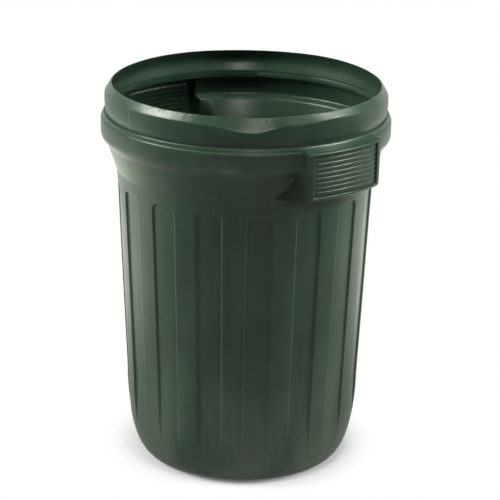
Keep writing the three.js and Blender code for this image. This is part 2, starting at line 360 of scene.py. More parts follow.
def inner_wall_path():
    """The plain inside of the tub, from the floor's edge to the neck."""
    turns = np.linspace(0, math.pi / 2, 12)
    heights = FLOOR_TOP + (CORNER_TOP - FLOOR_TOP) * (1 - np.cos(turns))
    drop = 1 - (heights - FLOOR_TOP) / (CORNER_TOP - FLOOR_TOP)
    foot = FOOT_R - 2 * WALL
    corner_radii = foot + (WALL_LOW_R - WALL - foot) * np.sqrt(1 - drop * drop)
    corner = np.column_stack([corner_radii, heights])
    above = rounded_path(
        [
            (WALL_LOW_R - WALL, CORNER_TOP, 0),
            (WALL_HIGH_R - WALL, WALL_HIGH_Z, 0.7 * MM),
            (COLLAR_R - 30 * MM, 545.6 * MM, 0.9 * MM),
            (COLLAR_R - 14.4 * MM, 601.8 * MM, 3.2 * MM),
            (COLLAR_R - WALL, 608.2 * MM, 3.2 * MM),
            (COLLAR_R - WALL, 632 * MM, 3 * MM),
            (SHOULDER_R, 641 * MM, 3 * MM),
            (NECK_R, 643 * MM, 2 * MM),
            (NECK_R, SPIGOT_TOP - SPIGOT_EDGE, 0),
        ],
        steps=4,
    )
    return np.vstack([corner, above[1:]])


def panel_recess(angles, heights, radii, grow):
    """How far the skin is sunk by the panels; grow widens them for the inside of the wall."""
    pitch = 2 * math.pi / PANELS
    from_centre = np.abs(turn((angles - 0.5 * pitch) * PANELS) / PANELS)
    across = from_centre * radii
    half = PANEL_HALF * radii + grow
    top = PANEL_TOP + grow
    x = across - (half - PANEL_CORNER)
    y = heights - (top - PANEL_CORNER)
    outside = np.hypot(np.maximum(x, 0), np.maximum(y, 0)) + np.minimum(np.maximum(x, y), 0)
    edge = outside - PANEL_CORNER
    plateau = 1 - smoothstep(-PANEL_EDGE, PANEL_EDGE, edge)
    return PANEL_DEPTH * plateau * smoothstep(PANEL_FADE[0], PANEL_FADE[1], heights)


def handle_radius(angles, heights, inset):
    """Radius of the handle boxes below their top: a curved face between sides that splay downwards.

    Below the bottom, and outside a sector round each handle, the radius drops far inside the wall.
    """
    away = from_handle(angles)
    bottom = HANDLE_BOTTOM + inset
    face = HANDLE_R - inset
    above = np.clip(heights - bottom, 0, None)
    below = np.clip(HANDLE_TOP - inset - heights, 0, None)
    rounding = rounded_off(above, HANDLE_ROUNDING_LOW - 0.5 * inset)
    rounding = rounding + rounded_off(below, HANDLE_ROUNDING_TOP)
    face_x = math.sqrt(HANDLE_R ** 2 - HANDLE_HALF ** 2)
    up_the_cone = np.clip((heights - HANDLE_BOTTOM) / (COLLAR_BOTTOM - HANDLE_BOTTOM), 0, 1)
    flare = FLARE_AT_BOTTOM + (FLARE_AT_COLLAR - FLARE_AT_BOTTOM) * up_the_cone
    half = HANDLE_HALF - inset * np.hypot(1, flare)
    side_radius = (half + face_x * flare) / (np.sin(away) + flare * np.cos(away))
    box = smooth_min(face - rounding, side_radius, HANDLE_CORNER)
    above_undercut = (heights - (bottom - HANDLE_UNDERCUT)) / HANDLE_UNDERCUT
    under = face - HANDLE_DEPTH + above_undercut * HANDLE_UNDERCUT_REACH_MM * MM
    return np.where(away < HANDLE_SECTOR, np.minimum(box, under), 0.0)


def with_handles(plain, shoulder, angles, heights, inset):
    """The plain skin with the handle boxes standing out of it, and the ledge swept over their tops."""
    top = HANDLE_TOP - inset
    box = handle_radius(angles, np.minimum(heights, top), inset)
    below = smooth_max(plain, box, HANDLE_FILLET)
    stand_out = smooth_max(shoulder + 0 * angles, box, HANDLE_FILLET) - shoulder
    left_over = np.clip((LEDGE_SWEEP_TOP - inset - heights) / (LEDGE_SWEEP_TOP - HANDLE_TOP), 0, 1)
    return np.where(heights <= top, below, plain + stand_out * left_over)


def window_share(angles, heights, angle_reach, height_reach):
    """1 inside a grip window widened by the first reaches, 0 beyond the second ones, smooth between."""
    first, last = (WINDOW_HALF + reach for reach in angle_reach)
    across = 1 - smoothstep(first, last, from_handle(angles))
    middle = (WINDOW_LOW + WINDOW_HIGH) / 2
    half = (WINDOW_HIGH - WINDOW_LOW) / 2
    along = 1 - smoothstep(half + height_reach[0], half + height_reach[1], np.abs(heights - middle))
    return across * along


def sag(angles, heights):
    """Slow waves of a thin moulding that cooled unevenly."""
    slow = ripple(angles, heights, seed=11, rounds=5, rows=9)
    fine = ripple(angles, heights, seed=12, rounds=14, rows=22, count=9)
    return (SAG_SLOW * slow + SAG_FINE * fine) * MM * smoothstep(*SAG_SETS_IN, heights)


def tub_wear_and_highlight(angles, heights, radii):
    """Pale marks on the tub: scuffs on the foot of the collar, most of all left of the front; a pale tone
    on the panels' edges that is partly scuffing and partly a painted highlight; and a painted highlight, a
    bright dot, at each lower corner of the windows.
    """
    degrees = np.degrees(turn(angles - FACING))
    scuffed = 0.5 + bumps(degrees, [SCUFF])
    collar = scuffed * gauss(heights, COLLAR_BOTTOM + 3 * MM, 5 * MM)
    wider = panel_recess(angles, heights, radii, 1.2 * MM)
    slope = wider - panel_recess(angles, heights, radii, -0.8 * MM)
    corner_highlight = gauss(from_handle(angles) * HANDLE_R, WINDOW_HALF * HANDLE_R, SPOT_HIGHLIGHT_SIZE)
    corner_highlight = SPOT_HIGHLIGHT * corner_highlight * gauss(heights, WINDOW_LOW - 1.2 * MM, SPOT_HIGHLIGHT_SIZE)
    return np.clip(collar + PANEL_EDGE_WEAR_AND_HIGHLIGHT * slope / PANEL_DEPTH + corner_highlight, 0, SPOT_HIGHLIGHT)


def tub_painted_shade(angles, heights, radii):
    """Painted shade on the tub: a painted shadow on the wall just below each handle, and each handle's
    flanks painted darker low down.
    """
    away = np.degrees(from_handle(angles))
    across = 1 - smoothstep(*SHADOW_BELOW_ENDS, away)
    depth = 13 * MM + 16 * MM * (1 - smoothstep(6, 26, away))
    shadow_below = across * smoothstep(WALL_HIGH_Z - depth, WALL_HIGH_Z - 6 * MM, heights)
    stands_out = smoothstep(-1 * MM, 1 * MM, handle_radius(angles, heights, 0) - radii)
    low_down = 1 - smoothstep(*FLANK_SHADE_FADES, heights)
    flank_shade = FLANK_SHADE * stands_out * smoothstep(*FLANK_SHADE_STARTS, away) * low_down
    return np.where(heights < HANDLE_BOTTOM, shadow_below, flank_shade)


def outer_radius(angles, heights, radii):
    """The tub's outside with its panels, handles, bevelled windows and their rounded sills."""
    plain = radii - panel_recess(angles, heights, radii, 0)
    skin = with_handles(plain, LEDGE_OUT_R, angles, heights, 0)
    edge = window_share(angles, heights, (0, math.radians(WINDOW_BEVEL_DEGREES)), (0, WINDOW_BEVEL))
    sill_end = WINDOW_HALF + math.radians(SILL_END_DEGREES)
    across = 1 - smoothstep(WINDOW_HALF, sill_end, from_handle(angles))
    sill = np.clip((heights - (WINDOW_LOW - WINDOW_SLOPE)) / WINDOW_SLOPE, 0, 1)
    sill = across * (1 - np.sqrt(1 - sill ** 2)) * (heights <= WINDOW_LOW + 0.5 * MM)
    return skin - np.maximum(WINDOW_BEVEL_DEPTH * edge, SILL_DEPTH * sill)


def inner_radius(angles, heights, radii):
    """The tub's inside with its panels, handles and the jambs round its windows."""
    plain = radii - panel_recess(angles, heights, radii, WALL)
    skin = with_handles(plain, SHOULDER_R, angles, heights, WALL)
    jamb_angles = tuple(math.radians(reach) for reach in JAMB_DEGREES)
    jamb = window_share(angles, heights, jamb_angles, JAMB_REACH)
    return skin * (1 - jamb) + np.minimum(skin, JAMB_R) * jamb


# ---------------------------------------------------------------- meshes

def mesh_object(name, vertices, faces):
    """A mesh in the scene, from points and the numbers of each face's corners."""
    mesh = bpy.data.meshes.new(name)
    mesh.from_pydata([tuple(v) for v in vertices], [], faces)
    mesh.update()
    piece = bpy.data.objects.new(name, mesh)
    bpy.context.scene.collection.objects.link(piece)
    return piece


def around(radii, heights, angles):
    """Points at radii and angles about the axis."""
    return np.stack([radii * np.cos(angles), radii * np.sin(angles), heights], axis=-1)


def shade(piece):
    """Smooth shading that keeps sharp edges crisp."""
    piece.data.shade_smooth()
    piece.data.set_sharp_from_angle(angle=math.radians(CRISP))


def paint(piece, name, values):
    """Stores one number per vertex for the materials to read."""
    attribute = piece.data.attributes.new(name, "FLOAT", "POINT")
    attribute.data.foreach_set("value", np.asarray(values, np.float32).ravel())


def steps_from(height, steps):
    """Heights a number of millimetres above a height."""
    return [height + step * MM for step in steps]


def tub_rows():
    """Rows of the tub's outer and inner skin, and the numbers of the rows a window starts and ends on."""
    sill_rows = [WINDOW_LOW - WINDOW_SLOPE * share for share in (0.1, 0.2, 0.32, 0.46, 0.64, 1.0, 1.2)]
    window_rows = [*sill_rows, WINDOW_LOW, WINDOW_HIGH, WINDOW_HIGH + WINDOW_BEVEL]
    jamb_rows = [
        edge + side * reach
        for edge, side in ((WINDOW_LOW, -1), (WINDOW_HIGH, 1))
        for reach in (0, JAMB_REACH[0], 3.15 * MM, JAMB_REACH[1])
    ]
    under_rows = steps_from(HANDLE_BOTTOM, (-0.5, -0.25, 0, 0.3, 0.8, 1.6, 2.8, 4.4, 7, 9.5, 12))
    panel_rows = steps_from(PANEL_TOP, (-16, -10, -8, -6, -4.4, -3, -1.8, -0.9, 0, 0.9, 1.8, 3, 6))
    top_rows = steps_from(HANDLE_TOP, (-3, -1.6, -0.8, -0.3, 0, 0.3, 0.8, 1.6, 3, 5, 7))
    cone_rows = list(np.linspace(HANDLE_BOTTOM, COLLAR_BOTTOM, 9))
    lifted = [row + WALL for row in under_rows[::2]]
    lowered = [row - WALL for row in top_rows[2::2]]
    outer_extra = window_rows + under_rows + panel_rows + top_rows + cone_rows
    inner_extra = jamb_rows + lifted + lowered + panel_rows[::3]
    outer = filled(outer_wall_path(), 32 * MM, outer_extra)
    inner = filled(inner_wall_path(), 40 * MM, inner_extra)
    spans = []
    for rows in (outer, inner):
        low, high = (int(np.argmin(np.abs(rows[:, 1] - edge))) for edge in (WINDOW_LOW, WINDOW_HIGH))
        rows[low, 1] = WINDOW_LOW
        rows[high, 1] = WINDOW_HIGH
        spans.append((low, high))
    return outer, inner, spans[0], spans[1]


def window_columns(angles):
    """The first and the last column of each window, the last one counted on past the full turn."""
    spans = []
    for centre in (0, math.pi):
        start = int(np.argmin(np.abs(turn(angles - (centre - WINDOW_HALF)))))
        end = int(np.argmin(np.abs(turn(angles - (centre + WINDOW_HALF)))))
        spans.append((start, end if end > start else end + len(angles)))
    return spans


def window_sides(at, start, end, outer_skin, inner_skin):
    """Triangles on a window's two upright sides.

    Each skin is given as its rows, the function that numbers them in the grid, and its span of rows.
    """
    outer, outer_row, (outer_low, outer_high) = outer_skin
    inner, inner_row, (inner_low, inner_high) = inner_skin
    faces = []
    for column, flip in ((start, False), (end, True)):
        a, b = outer_low, inner_low
        while a < outer_high or b < inner_high:
            outer_next = outer[a + 1, 1] if a < outer_high else math.inf
            inner_next = inner[b + 1, 1] if b < inner_high else math.inf
            if outer_next <= inner_next:
                face = (at(outer_row(a), column), at(inner_row(b), column), at(outer_row(a + 1), column))
                a += 1
            else:
                face = (at(outer_row(a), column), at(inner_row(b), column), at(inner_row(b + 1), column))
                b += 1
            faces.append(face[::-1] if flip else face)
    return faces


def build_tub():
    """The tub: underside, outer skin, spigot, inner skin and floor in one grid, with windows cut out."""
    angles = tub_angles()
    outer, inner, outer_span, inner_span = tub_rows()

    def skin(rows, radius_of):
        grid_angles = angles[None, :]
        heights = rows[:, 1][:, None] + 0 * grid_angles
        radii = radius_of(grid_angles, heights, rows[:, 0][:, None]) + sag(grid_angles, heights)
        return around(radii, heights, grid_angles + 0 * heights)

    def plain(points):
        radii = np.array([p[0] for p in points])[:, None] + 0 * angles[None, :]
        heights = np.array([p[1] for p in points])[:, None] + 0 * angles[None, :]
        return around(radii, heights, angles[None, :] + 0 * heights)

    foot_in = FOOT_R - FOOT_RING
    under = plain(
        [
            (45 * MM, UNDERSIDE_RISE),
            (100 * MM, UNDERSIDE_RISE),
            (foot_in - 9 * MM, UNDERSIDE_RISE),
            (foot_in - 5 * MM, 0.8 * UNDERSIDE_RISE),
            (foot_in - 1.5 * MM, 0.2 * UNDERSIDE_RISE),
            (foot_in, 0),
            (FOOT_R - 10 * MM, 0),
        ]
    )
    spigot = plain(
        [
            (SPIGOT_R + 1 * MM, SHELF_Z),
            (SPIGOT_R, SHELF_Z + SPIGOT_EDGE),
            (SPIGOT_R, SPIGOT_TOP - SPIGOT_EDGE),
            (SPIGOT_R - SPIGOT_EDGE, SPIGOT_TOP),
            (SPIGOT_R - 2.1 * MM, SPIGOT_TOP),
        ]
    )
    floor = plain([(130 * MM, FLOOR_TOP), (60 * MM, FLOOR_TOP + 0.8 * MM)])
    outer_grid = skin(outer, outer_radius)
    inner_grid = skin(inner, inner_radius)[::-1]
    grid = np.concatenate([under, outer_grid, spigot, inner_grid, floor])
    rows, columns = grid.shape[:2]
    first_outer = len(under)
    last_inner = len(under) + len(outer) + len(spigot) + len(inner) - 1

    def outer_row(index):
        return first_outer + index

    def inner_row(index):
        return last_inner - index

    def at(row, column):
        return row * columns + column % columns

    vertices = list(grid.reshape(-1, 3)) + [(0, 0, UNDERSIDE_RISE), (0, 0, FLOOR_TOP + 1.0 * MM)]
    under_pole = rows * columns
    floor_pole = under_pole + 1

    windows = window_columns(angles)
    cut = np.zeros((rows, columns), bool)
    for start, end in windows:
        for column in range(start, end):
            cut[outer_row(outer_span[0]):outer_row(outer_span[1]), column % columns] = True
            cut[inner_row(inner_span[1]):inner_row(inner_span[0]), column % columns] = True

    faces = []
    for row in range(rows - 1):
        for column in range(columns):
            if not cut[row, column]:
                along = (at(row, column), at(row, column + 1))
                faces.append((*along, at(row + 1, column + 1), at(row + 1, column)))
    for column in range(columns):
        faces.append((under_pole, at(0, column + 1), at(0, column)))
        faces.append((floor_pole, at(rows - 1, column), at(rows - 1, column + 1)))

    # The jambs close the gap between the two skins round each window.
    for start, end in windows:
        for column in range(start, end):
            for outer_index, inner_index, upward in zip(outer_span, inner_span, (True, False)):
                quad = (
                    at(outer_row(outer_index), column),
                    at(outer_row(outer_index), column + 1),
                    at(inner_row(inner_index), column + 1),
                    at(inner_row(inner_index), column),
                )
                faces.append(quad if upward else quad[::-1])
        outer_skin = (outer, outer_row, outer_span)
        inner_skin = (inner, inner_row, inner_span)
        faces += window_sides(at, start, end, outer_skin, inner_skin)

    piece = mesh_object("tub", vertices, faces)
    outside = slice(first_outer, first_outer + len(outer))
    outer_radii = outer[:, 0][:, None]
    outer_heights = outer[:, 1][:, None] + 0 * angles[None, :]
    # Pale marks with painted highlights, then painted shade, are painted on the outer skin.
    for name, tone_of in (("pale_wear_and_highlight", tub_wear_and_highlight), ("painted_shade", tub_painted_shade)):
        tone = np.zeros((rows, columns))
        tone[outside] = tone_of(angles[None, :], outer_heights, outer_radii)
        paint(piece, name, np.append(tone.ravel(), [0, 0]))
    shade(piece)
    return piece


# ---------------------------------------------------------------- the band

def crease_drop(degrees):
    """How far the crease under the lip sags: a dent in front, a droop at the sides, a rise right of it."""
    width = np.where(degrees < LIP_DENT_AT, 13.0, 8.0)
    dent = LIP_DENT * gauss(degrees, LIP_DENT_AT, width)
    sides = SIDE_DROOP * np.sin(np.radians(degrees)) ** 6
    return (dent + sides - bumps(degrees, CREASE_RISES)) * MM


def build_band():
    """The soft rim band: an upright wall, a crease and a sloping lip, slightly out of true all round."""
    rough_trim_rows = np.arange(-48, -20, 0.15)
    seam_rows = np.arange(-54, -50, 0.12)
    degrees = np.concatenate([np.arange(-180, 180, 0.6), rough_trim_rows, seam_rows])
    angles = unique_angles(np.radians(degrees) + FACING, math.radians(0.1))[None, :]
    bottom = BAND_LOW.z
    crease = bottom + 38.7 * MM
    mouth_r = COLLAR_R - 17.5 * MM
    lip = 2.4 * MM
    outside = rounded_path(
        [
            (SKIRT_R, bottom, 0),
            (COLLAR_R - 8.4 * MM, bottom, 0.5 * MM),
            (COLLAR_R - 8.7 * MM, bottom + 3 * MM, 2 * MM),
            (COLLAR_R - 7.2 * MM, bottom + 11 * MM, 5 * MM),
            (BEAD_R, bottom + 24 * MM, 6 * MM),
            (BEAD_R - 0.9 * MM, crease, 1.8 * MM),
            (mouth_r, TOP - 0.4 * MM, 0.5 * MM),
            (mouth_r - 0.5 * MM, TOP, 0.4 * MM),
            (mouth_r - lip, TOP - 0.3 * MM, 0),
        ],
        steps=6,
    )
    inside = rounded_path(
        [
            (mouth_r - lip, TOP - 0.3 * MM, 0),
            (BEAD_R - 4.4 * MM, crease + 1 * MM, 9 * MM),
            (BEAD_R - 3.8 * MM, bottom + 28 * MM, 8 * MM),
            (NECK_R, bottom + 10.5 * MM, 3 * MM),
            (NECK_R, bottom + SKIRT_HEIGHT, 0),
            (SKIRT_R, bottom + SKIRT_HEIGHT, 0),
            (SKIRT_R, bottom, 0),
        ],
        steps=6,
    )
    loop = resampled(np.vstack([outside, inside[1:-1]]), 4.5 * MM)
    radii = loop[:, 0][:, None]
    heights = loop[:, 1][:, None]
    up = smoothstep(bottom + 5 * MM, TOP, heights)
    degrees = np.degrees(turn(angles - FACING))

    def wobble(seed, rounds, count=7):
        return ripple(angles, 0 * angles, seed, rounds, rows=0, count=count)

    wander = 1.3 * wobble(seed=21, rounds=5) + 0.4 * wobble(seed=22, rounds=17)
    dent = bumps(degrees, BAND_DENTS)
    wave = wobble(seed=23, rounds=6)
    roughness = gauss(degrees, ROUGH_TRIM_AT, ROUGH_TRIM_WIDTH) + 0.15
    ragged = roughness * ROUGH_TRIM * wobble(seed=24, rounds=520, count=60)
    ragged = np.clip(ragged, DEEPEST_NICK, HIGHEST_BURR)
    at_edge = smoothstep(TOP - 3 * MM, TOP - 0.4 * MM, heights)
    below = np.clip((heights - bottom - SKIRT_HEIGHT) / (crease - bottom - SKIRT_HEIGHT), 0, 1)
    above = np.clip((TOP - heights) / (TOP - crease), 0, 1)
    tuck = 1.3 * gauss(degrees, -5, 14) * gauss(heights, bottom + 6 * MM, 5 * MM)
    seam = 1.1 * (1 - smoothstep(-52.6, -51.9, degrees)) * smoothstep(-64, -53, degrees)
    ridge = 0.7 * gauss(degrees, SEAM_AT, 0.35)
    seam = (0.5 * seam + ridge) * up * (1 - at_edge) * (heights < crease)
    outer_side = np.zeros((len(loop), 1))
    outer_side[: int(np.argmax(loop[:, 1])) + 1] = 1
    new_radii = radii + (up * (wander + dent) + outer_side * (seam - tuck)) * MM
    lift = (up ** 2 * wave + at_edge * ragged) * MM
    new_heights = heights - crease_drop(degrees) * below * above + lift
    grid = around(new_radii, new_heights, angles + 0 * radii)
    piece = closed_loop_object("rim_band_skin", grid)
    # The lip is painted pale in chalky patches where the lamps' highlights fall, partly scuffing and
    # partly a painted highlight, and a pale line is painted along the seam.
    on_lip = smoothstep(crease - 0.5 * MM, crease + 2.0 * MM, heights) * outer_side
    wear_and_highlight_amount = 0.04 + bumps(degrees, LIP_WEAR_AND_HIGHLIGHT)
    on_lip = on_lip * np.clip(wear_and_highlight_amount + 0.05 * wobble(seed=25, rounds=40), 0, 1)
    on_seam = 0.8 * gauss(degrees, SEAM_AT - 0.1, 0.3) * outer_side * (heights < crease)
    paint(piece, "pale_wear_and_highlight", on_lip + on_seam)
    shade(piece)
    return piece


def resampled(loop, longest):
    """A closed loop of points with long gaps filled in."""
    points = []
    for here, following in zip(loop, np.roll(loop, -1, axis=0)):
        pieces = max(1, math.ceil(np.linalg.norm(following - here) / longest))
        for share in np.arange(pieces) / pieces:
            points.append(here * (1 - share) + following * share)
    return np.array(points)


def closed_loop_object(name, grid):
    """A ring-shaped shell: the rows close on themselves and so do the columns."""
    rows, columns = grid.shape[:2]
    faces = []
    for row in range(rows):
        for column in range(columns):
            a = row * columns + column
            b = row * columns + (column + 1) % columns
            c = ((row + 1) % rows) * columns + (column + 1) % columns
            d = ((row + 1) % rows) * columns + column
            faces.append((a, b, c, d))
    return mesh_object(name, list(grid.reshape(-1, 3)), faces)


# ---------------------------------------------------------------- the grips

def rib_shape(phase):
    """One rib per unit of phase: a soft upper shoulder and a longer slope below it."""
    within = phase % 1.0
    rise = smoothstep(0.12, 0.62, within)
    fall = 1 - smoothstep(0.66, 0.88, within)
    return rise * fall


def build_grip(name, centre):
    """A grip panel: ribbed skins front and back, closed round its four edges."""
    half = WINDOW_HALF - GAP / GRIP_R
    low, high = WINDOW_LOW + GAP, WINDOW_HIGH - GAP
    across = np.linspace(-half, half, GRIP_COLUMNS)
    heights = np.linspace(low, high, GRIP_ROWS)
    phase = (heights - WINDOW_LOW - FIRST_RIB) / RIB_PITCH + 0.5
    rib = rib_shape(phase) * (phase > 0) * (phase < RIBS)
    sides = smoothstep(0, math.radians(0.8), half - np.abs(across))
    front = GRIP_R + RIB_HEIGHT * rib[:, None] * sides[None, :]
    bead = np.sqrt(np.clip(1 - ((heights - high + BEAD_DROP) / BEAD_SIZE) ** 2, 0, 1))
    back = GRIP_BACK_R - np.maximum(BACK_RIB_HEIGHT * rib, BEAD_SIZE * bead)[:, None] * sides[None, :]
    angle = centre + across[None, :] + 0 * heights[:, None]
    tall = heights[:, None] + 0 * across[None, :]
    front_grid = around(front, tall, angle)
    back_grid = around(back, tall, angle)
    rows, columns = front_grid.shape[:2]
    vertices = list(front_grid.reshape(-1, 3)) + list(back_grid.reshape(-1, 3))
    offset = rows * columns

    def at(row, column):
        return row * columns + column

    faces = []
    for row in range(rows - 1):
        for column in range(columns - 1):
            quad = (at(row, column), at(row, column + 1), at(row + 1, column + 1), at(row + 1, column))
            faces.append(quad)
            faces.append(tuple(offset + corner for corner in quad[::-1]))
    border = [at(0, column) for column in range(columns)]
    border += [at(row, columns - 1) for row in range(1, rows)]
    border += [at(rows - 1, column) for column in range(columns - 2, -1, -1)]
    border += [at(row, 0) for row in range(rows - 2, 0, -1)]
    for here, following in zip(border, border[1:] + border[:1]):
        faces.append((following, here, offset + here, offset + following))
    piece = mesh_object(name, vertices, faces)
    # The ribs' crests are painted pale, partly as scuffing and partly as a painted highlight, and the bead
    # on the back carries a painted highlight.
    crest = np.stack([RIB_WEAR_AND_HIGHLIGHT * rib, BEAD_HIGHLIGHT * bead ** 2])[:, :, None] * sides[None, None, :]
    paint(piece, "pale_wear_and_highlight", crest)
    shade(piece)
    return piece


# ---------------------------------------------------------------- materials

DARK_GREEN = (0.0165, 0.0420, 0.0240)
LIGHT_GREEN = (0.0240, 0.0570, 0.0330)
DUST = (0.15, 0.18, 0.14)
# Pale chalky colour of scuffs, scratches and specks, and of the painted highlights.
CHALK_AND_HIGHLIGHT = (0.38, 0.40, 0.32)
# Colour of the painted shade, and how fully it covers.
PAINTED_SHADE_COLOUR = (0.006, 0.007, 0.005)
PAINTED_SHADE_COVER = 0.75
PLASTIC_IOR = 1.5
PLASTIC_SHINE = 0.5
ROUGHNESS_SPREAD = 0.10
WORN_ROUGHNESS = 0.3
DUST_REACH = 0.34
DUST_LOW_DOWN = 0.36
DUST_EVERYWHERE = 0.10
SPECK_CELLS = 24.0
SPECK_SIZE = 0.034
SPECK_COVER = 0.4

# How far noise is drawn out upright, as scales along X, Y and Z.
FLOW_STREAKS = (1, 1, 0.02)
SCRATCHES = (1, 1, 0.16)
CLOUDS = (1, 1, 0.3)


def faded(tree, value, low, high, at_low, at_high):
    """A smooth passage from at_low to at_high as value goes from low to high."""
    node = tree.nodes.new("ShaderNodeMapRange")
    node.interpolation_type = "SMOOTHSTEP"
    for name, number in (("From Min", low), ("From Max", high), ("To Min", at_low), ("To Max", at_high)):
        node.inputs[name].default_value = number
    tree.links.new(value, node.inputs["Value"])
    return node.outputs["Result"]


class Nodes:
    """Short-hand for building a material's node tree."""

    def __init__(self, name):
        self.material = bpy.data.materials.new(name)
        self.material.use_nodes = True
        self.tree = self.material.node_tree
        self.shader = self.tree.nodes["Principled BSDF"]
        self.where = self.tree.nodes.new("ShaderNodeTexCoord").outputs["Object"]

    def new(self, kind, **settings):
        node = self.tree.nodes.new(kind)
        for key, value in settings.items():
            setattr(node, key, value)
        return node

    def join(self, source, target):
        """Links an output to an input, or sets the input if the source is a plain number."""
        if hasattr(source, "is_output") or hasattr(source, "links"):
            self.tree.links.new(source, target)
        else:
            target.default_value = source

    def noise(self, scale, detail=3.0, rough=0.55, stretch=(1, 1, 1)):
        """Noise in object space, so its scale is in cells per metre."""
        mapping = self.new("ShaderNodeMapping")
        mapping.inputs["Scale"].default_value = stretch
        self.join(self.where, mapping.inputs["Vector"])
        node = self.new("ShaderNodeTexNoise")
        node.inputs["Scale"].default_value = scale
        node.inputs["Detail"].default_value = detail
        node.inputs["Roughness"].default_value = rough
        self.join(mapping.outputs["Vector"], node.inputs["Vector"])
        return node.outputs["Fac"]

    def fade(self, value, low, high, at_low=0.0, at_high=1.0):
        return faded(self.tree, value, low, high, at_low, at_high)

    def math(self, operation, first, second):
        node = self.new("ShaderNodeMath", operation=operation)
        self.join(first, node.inputs[0])
        self.join(second, node.inputs[1])
        return node.outputs["Value"]

    def times(self, *factors):
        """The product of the factors, joined from the left."""
        product = factors[0]
        for factor in factors[1:]:
            product = self.math("MULTIPLY", product, factor)
        return product

    def scaled_plus(self, value, scale, offset):
        return self.math("ADD", self.times(value, scale), offset)

    def mix(self, factor, first, second):
        """A colour that passes from first to second, each a colour output or a tuple."""
        node = self.new("ShaderNodeMix", data_type="RGBA")
        self.join(factor, node.inputs["Factor"])
        for source, name in ((first, "A"), (second, "B")):
            socket = next(s for s in node.inputs if s.name == name and s.type == "RGBA")
            if isinstance(source, tuple):
                socket.default_value = (*source, 1.0)
            else:
                self.tree.links.new(source, socket)
        return next(s for s in node.outputs if s.type == "RGBA")

    def attribute(self, name):
        """A number painted on the mesh."""
        return self.new("ShaderNodeAttribute", attribute_name=name).outputs["Fac"]

    def height(self):
        split = self.new("ShaderNodeSeparateXYZ")
        self.join(self.where, split.inputs["Vector"])
        return split.outputs["Z"]

    def bump(self, height, strength, distance):
        """A bump node, to be joined to the normal it changes and to what reads it."""
        node = self.new("ShaderNodeBump")
        node.inputs["Strength"].default_value = strength
        node.inputs["Distance"].default_value = distance
        self.join(height, node.inputs["Height"])
        return node


def moulded_plastic(name, rough, dusty, wear_and_highlight_amount, scratched):
    """Moulded polyethylene: mottled green, upright flow streaks, dust, chalky scuffing with painted
    highlights, a few specks and painted shade.
    """
    n = Nodes(name)
    mottle = n.noise(6.0, detail=4.0)
    streak = n.noise(45.0, detail=3.0, stretch=FLOW_STREAKS)
    blend = n.math("ADD", n.times(mottle, 0.6), n.times(streak, 0.4))
    colour = n.mix(n.fade(blend, 0.38, 0.62), DARK_GREEN, LIGHT_GREEN)

    low_down = n.fade(n.height(), 0.0, DUST_REACH, 1.0, 0.0)
    cloud = n.fade(n.noise(9.0, detail=5.0, rough=0.6, stretch=CLOUDS), 0.34, 0.74)
    dust = n.times(cloud, n.scaled_plus(low_down, DUST_LOW_DOWN, DUST_EVERYWHERE), dusty)
    colour = n.mix(dust, colour, DUST)

    grain = n.fade(n.noise(130.0, detail=4.0, rough=0.7), 0.42, 0.66)
    patch = n.fade(n.noise(14.0, detail=3.0), 0.46, 0.68)
    # The painted pale marks turn the plastic chalky: scuffing in places and painted highlights in others.
    grainy = n.times(n.attribute("pale_wear_and_highlight"), n.scaled_plus(grain, 0.6, 0.4), wear_and_highlight_amount)
    chalk_and_highlight = n.times(grainy, n.scaled_plus(patch, 0.7, 0.3))
    colour = n.mix(chalk_and_highlight, colour, CHALK_AND_HIGHLIGHT)

    scratch = n.fade(n.noise(210.0, detail=2.0, stretch=SCRATCHES), 0.62, 0.72)
    scratch = n.times(scratch, n.fade(n.noise(6.5, detail=3.0), 0.52, 0.68), scratched)
    colour = n.mix(scratch, colour, CHALK_AND_HIGHLIGHT)

    cells = n.new("ShaderNodeTexVoronoi", feature="F1")
    cells.inputs["Scale"].default_value = SPECK_CELLS
    n.join(n.where, cells.inputs["Vector"])
    chosen = n.new("ShaderNodeSeparateColor")
    n.join(cells.outputs["Color"], chosen.inputs["Color"])
    size = n.fade(chosen.outputs["Red"], 0.90, 1.0, 0.0, SPECK_SIZE)
    speck = n.math("LESS_THAN", cells.outputs["Distance"], size)
    colour = n.mix(n.times(speck, SPECK_COVER), colour, CHALK_AND_HIGHLIGHT)
    # Painted shade: darkens the plastic below each handle and on its flanks.
    colour = n.mix(n.times(n.attribute("painted_shade"), PAINTED_SHADE_COVER), colour, PAINTED_SHADE_COLOUR)
    n.join(colour, n.shader.inputs["Base Color"])

    uneven = n.scaled_plus(n.noise(20.0, detail=4.0), ROUGHNESS_SPREAD, rough - ROUGHNESS_SPREAD / 2)
    worn = n.times(n.math("ADD", dust, chalk_and_highlight), WORN_ROUGHNESS)
    n.join(n.math("ADD", uneven, worn), n.shader.inputs["Roughness"])

    grain_bump = n.bump(n.noise(800.0, detail=2.0), 0.08, 0.3 * MM)
    streak_bump = n.bump(streak, 0.12, 1 * MM)
    n.join(grain_bump.outputs["Normal"], streak_bump.inputs["Normal"])
    n.join(streak_bump.outputs["Normal"], n.shader.inputs["Normal"])
    n.shader.inputs["IOR"].default_value = PLASTIC_IOR
    n.shader.inputs["Specular IOR Level"].default_value = PLASTIC_SHINE
    return n.material


def dress(piece, material, node):
    """Gives a piece its material, and puts it in the place of a node of the frame."""
    piece.data.materials.append(material)
    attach(piece, "root")
    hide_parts(node)


# ---------------------------------------------------------------- the bin

tub_plastic = moulded_plastic("tub_plastic", rough=0.33, dusty=1.0, wear_and_highlight_amount=0.25, scratched=0.2)
dress(build_tub(), tub_plastic, "bin_body")

band_plastic = moulded_plastic("band_plastic", rough=0.31, dusty=0.5, wear_and_highlight_amount=0.8, scratched=0.05)
dress(build_band(), band_plastic, "rim_band")

